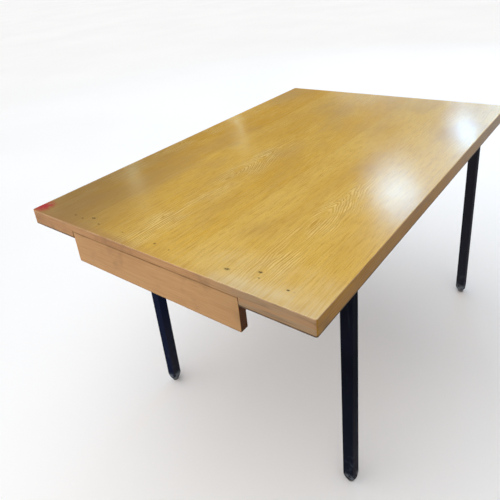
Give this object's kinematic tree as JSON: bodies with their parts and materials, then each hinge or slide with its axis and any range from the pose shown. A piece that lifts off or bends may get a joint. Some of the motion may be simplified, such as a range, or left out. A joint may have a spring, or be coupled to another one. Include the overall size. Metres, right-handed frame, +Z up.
{
  "type": "table with drawer",
  "caption": "Rectangular table with a thick-edged veneered wooden top, a small drawer let into one short edge, and a square-tube steel frame with round-ended legs",
  "frame": {"origin": "on the floor under the middle of the rectangular top", "axes": "+Z up, the length of the top runs along Y, and the drawer opens towards -Y"},
  "size_m": [0.8, 1.2, 0.74],
  "materials": {
    "face_veneer": "satin varnish",
    "edge_wood": "satin varnish",
    "board_wood": "bare",
    "drawer_wood": "bare",
    "panel_board": "bare",
    "frame_enamel": "blue-black gloss enamel, worn",
    "glide_grey": "matt grey",
    "screw_steel": "plain steel"
  },
  "bodies": {
    "table": {"top_veneer": "face_veneer", "front_edge_strip": "edge_wood", "rear_edge_strip": "edge_wood", "left_edge_strip": "edge_wood", "right_edge_strip": "edge_wood", "core_board": "board_wood", "backing_veneer": "board_wood", "left_bearer": "board_wood", "right_bearer": "board_wood", "front_bearer": "board_wood", "middle_bearer": "board_wood", "rear_bearer": "board_wood", "left_runner": "board_wood", "right_runner": "board_wood", "stop_strip": "board_wood", "left_rail": "frame_enamel", "right_rail": "frame_enamel", "front_rail": "frame_enamel", "rear_rail": "frame_enamel", "front_left_leg": "frame_enamel", "front_right_leg": "frame_enamel", "rear_left_leg": "frame_enamel", "rear_right_leg": "frame_enamel", "fixing_tabs": "frame_enamel", "front_left_glide": "glide_grey", "front_right_glide": "glide_grey", "rear_left_glide": "glide_grey", "rear_right_glide": "glide_grey", "frame_screws": "screw_steel", "runner_screws": "screw_steel", "stop_screws": "screw_steel"},
    "drawer": {"drawer_front": "edge_wood", "drawer_left_side": "drawer_wood", "drawer_right_side": "drawer_wood", "drawer_back": "drawer_wood", "drawer_bottom": "panel_board", "left_cleat": "drawer_wood", "right_cleat": "drawer_wood", "drawer_dowels": "drawer_wood", "cleat_screws": "screw_steel", "back_screws": "screw_steel"}
  },
  "joints": [
    {"name": "drawer_slide", "type": "slide", "parent": "table", "child": "drawer", "axis": [0, -1, 0], "range_m": [0, 0.1585]}
  ]
}
